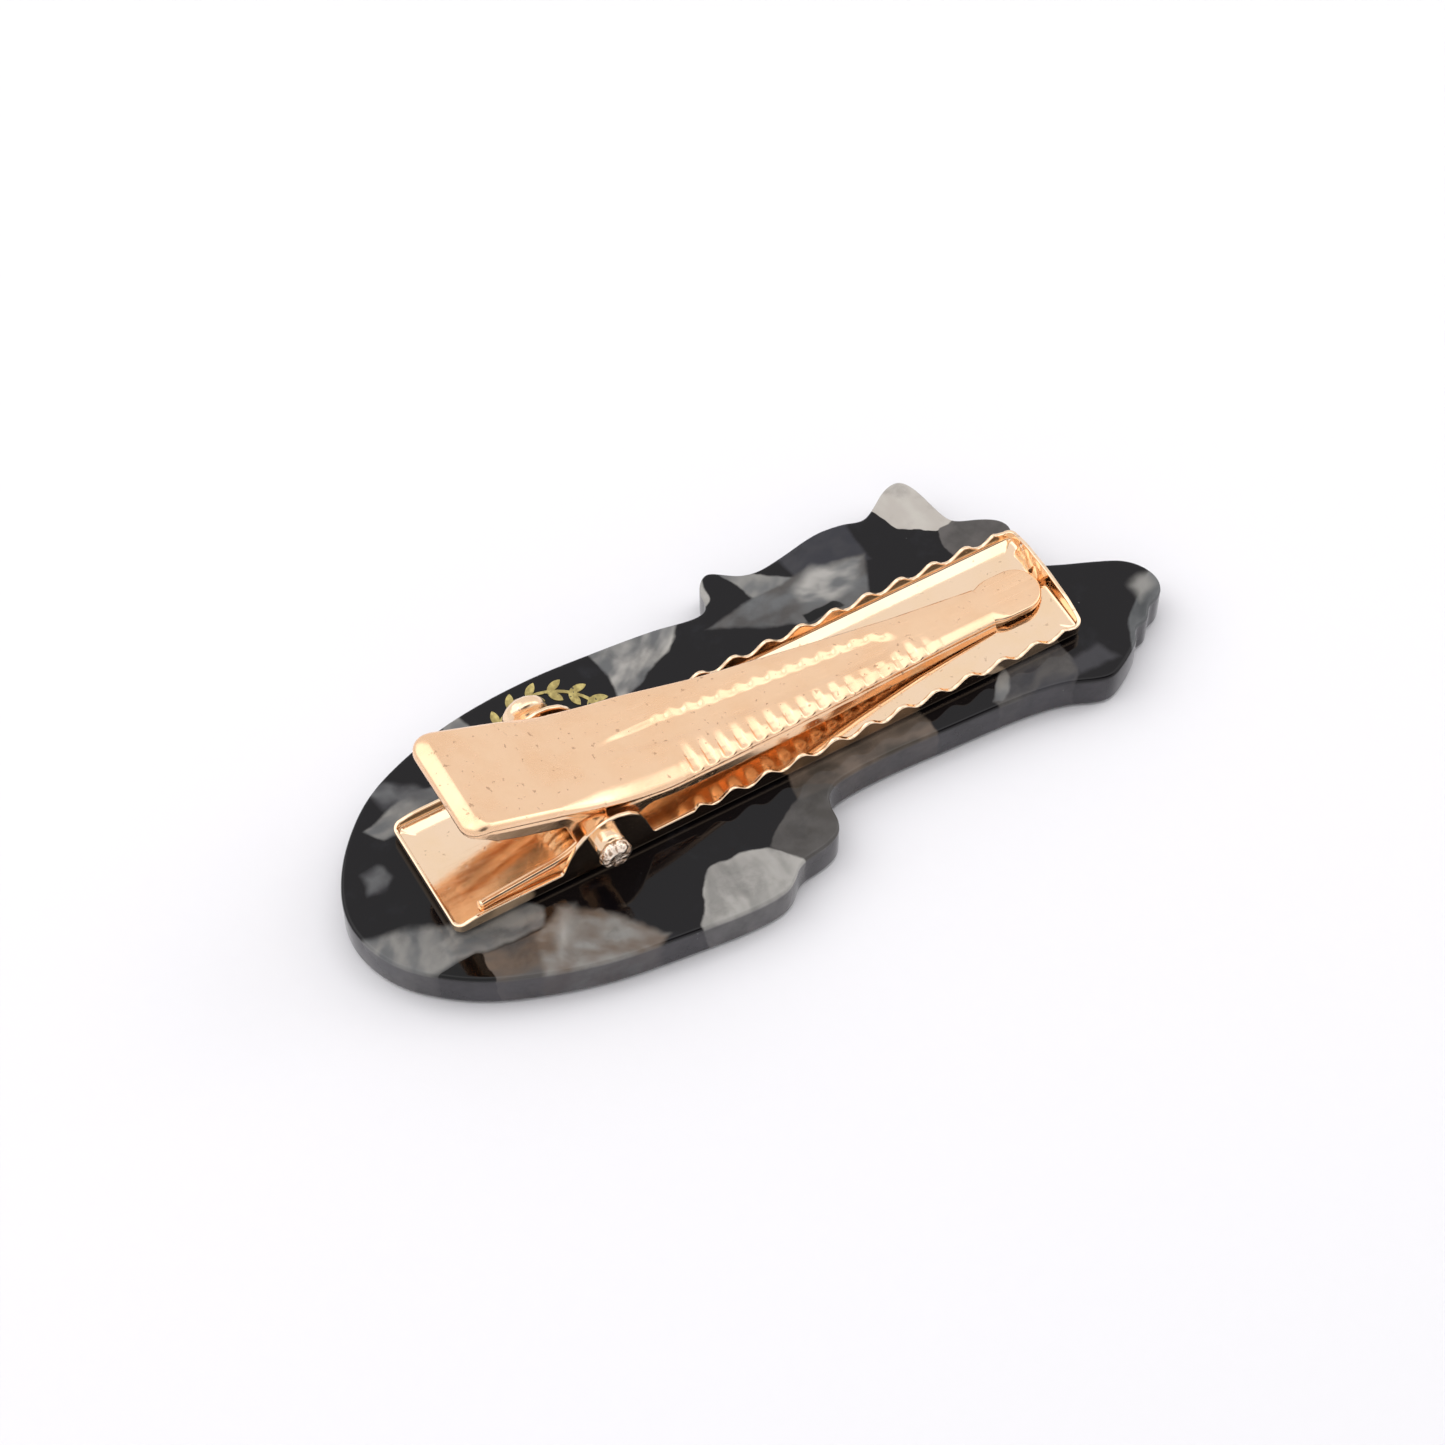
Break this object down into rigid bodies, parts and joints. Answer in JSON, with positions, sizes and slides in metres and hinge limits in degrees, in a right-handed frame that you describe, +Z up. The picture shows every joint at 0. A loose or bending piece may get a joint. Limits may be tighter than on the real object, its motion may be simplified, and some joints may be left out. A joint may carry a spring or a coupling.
{
  "type": "alligator hair clip",
  "caption": "Sprung metal alligator hair clip with a toothed base jaw and a finger lever, glued to the back of a flat acetate plaque cut as a lying cat.",
  "frame": {"origin": "on the plaque's flat front face, straight below the middle of the base jaw's rear end", "axes": "+X along the clip towards the tips of the jaws, +Z up from the plaque to the lever, +Y towards the cat's head"},
  "size_m": [0.058, 0.0239, 0.0135],
  "materials": {
    "acetate": "polished black acetate with pearly grey and white marbling",
    "glue": "clear set glue",
    "clip_metal": "bright rose gold plating with fine scratches",
    "pin_metal": "rose gold plating, worn at the peened end",
    "spring_wire": "rose gold plated spring wire",
    "gold_foil": "dull stamped gold foil with pinholes"
  },
  "bodies": {
    "clip_base": {"acetate_plaque": "acetate", "glue_film": "glue", "base_jaw": "clip_metal", "pivot_pin": "pin_metal", "torsion_spring": "spring_wire", "foil_sprig": "gold_foil"},
    "lever": {"lever_jaw": "clip_metal"}
  },
  "joints": [
    {"name": "lever_hinge", "type": "hinge", "parent": "clip_base", "child": "lever", "pos_m": [0.0104, 0, 0.0071], "axis": [0, -1, 0], "range_deg": [0, 40], "stiffness_Nm_per_rad": 0.03, "springref_deg": -57.3, "deforming": ["torsion_spring"]}
  ]
}
